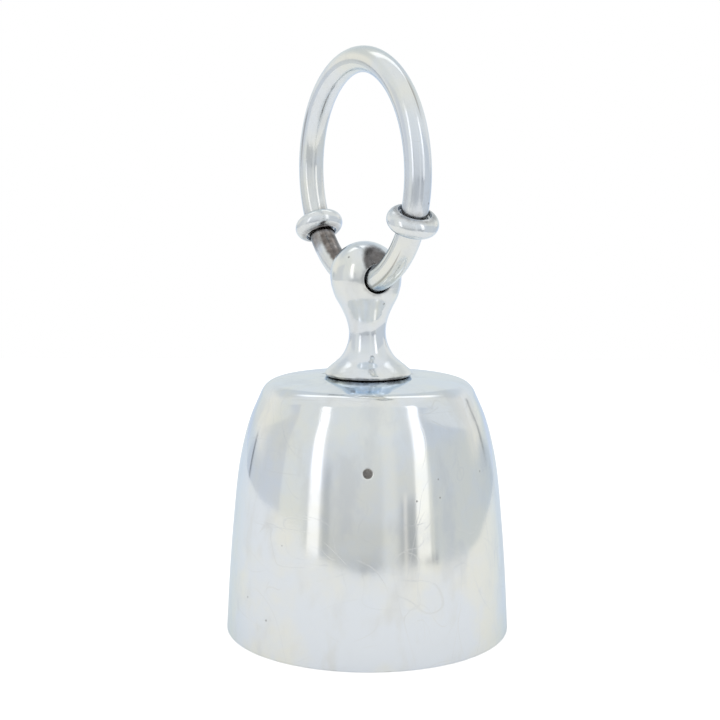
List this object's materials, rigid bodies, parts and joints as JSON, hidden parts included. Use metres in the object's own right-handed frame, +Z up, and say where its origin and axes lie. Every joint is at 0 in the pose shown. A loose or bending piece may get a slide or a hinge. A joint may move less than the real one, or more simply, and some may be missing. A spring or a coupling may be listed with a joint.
{
  "type": "table bell with ring handle",
  "caption": "Rim-standing metal table bell with a turned knob stem, a swinging ring handle with two collars, and a ball clapper hung inside from an eye bolt.",
  "frame": {"origin": "centre of the rim plane, on the surface that the bell stands on", "axes": "+Z up along the bell's axis; the ring handle stands close to the XZ plane and swings about an axis along X"},
  "size_m": [0.06, 0.06, 0.1217],
  "materials": {
    "polished_silver": "hand-polished silver with fine scratches and tarnish in the crevices",
    "fixing_steel": "dull grey steel",
    "clapper_brass": "aged brass"
  },
  "bodies": {
    "bell": {"bell_body": "polished_silver", "knob_stem": "polished_silver", "crown_washer": "fixing_steel", "crown_nut": "fixing_steel", "eye_bolt": "fixing_steel"},
    "ring_handle": {"ring_bow": "polished_silver", "ring_shank": "polished_silver", "collar_right": "polished_silver", "collar_left": "polished_silver"},
    "link": {"clapper_link": "fixing_steel"},
    "clapper": {"clapper_rod": "clapper_brass", "clapper_ball": "clapper_brass"}
  },
  "joints": [
    {"name": "ring_swing", "type": "hinge", "parent": "bell", "child": "ring_handle", "pos_m": [0, -0.0015, 0.0748], "axis": [1, 0, 0], "range_deg": [-137.5, 140]},
    {"name": "link_swing", "type": "hinge", "parent": "bell", "child": "link", "pos_m": [0, 0, 0.0436], "axis": [1, 0, 0], "range_deg": [-6, 6]},
    {"name": "clapper_swing", "type": "hinge", "parent": "link", "child": "clapper", "pos_m": [0, 0, 0.03955], "axis": [0, 1, 0], "range_deg": [-43.5, 43.5]}
  ]
}
